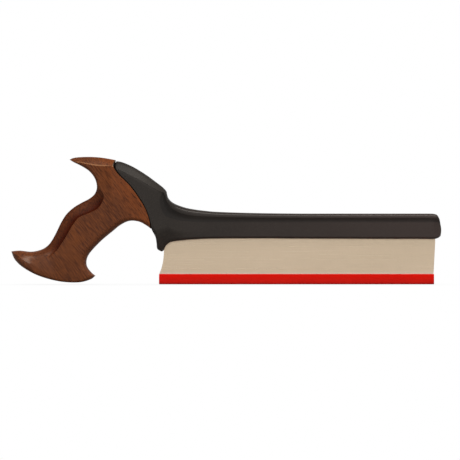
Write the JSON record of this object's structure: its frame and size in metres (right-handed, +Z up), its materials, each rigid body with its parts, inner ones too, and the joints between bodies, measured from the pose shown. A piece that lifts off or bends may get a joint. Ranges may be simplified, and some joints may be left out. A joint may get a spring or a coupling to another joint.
{
  "type": "dovetail saw",
  "caption": "Dovetail saw with an open pistol-grip wood handle, a moulded dark back, a thin toothed steel plate and a red slip-on tooth guard.",
  "frame": {"origin": "below the middle of the saw's overall length and thickness, on the surface that the tooth guard stands on", "axes": "+X from the handle to the toe along the tooth line, +Y across the thickness, +Z up from the teeth to the back"},
  "size_m": [0.3714, 0.023, 0.1099],
  "materials": {
    "handle_wood": "satin oiled dark red-brown hardwood, grain along the cheek",
    "composite": "fine-grained matte moulding",
    "plate_steel": "brushed lengthwise, satin",
    "red_plastic": "smooth extruded plastic",
    "bolt_steel": "turned",
    "brass": "turned, satin"
  },
  "bodies": {
    "saw": {"handle": "handle_wood", "spine": "composite", "saw_plate": "plate_steel", "handle_bolt": "bolt_steel", "nut_washer": "bolt_steel", "barrel_nut": "brass", "bolt_insert": "brass"},
    "guard": {"tooth_guard": "red_plastic"}
  },
  "joints": [
    {"name": "guard_slide", "type": "slide", "parent": "saw", "child": "guard", "axis": [1, 0, 0], "range_m": [0, 0.24]}
  ]
}
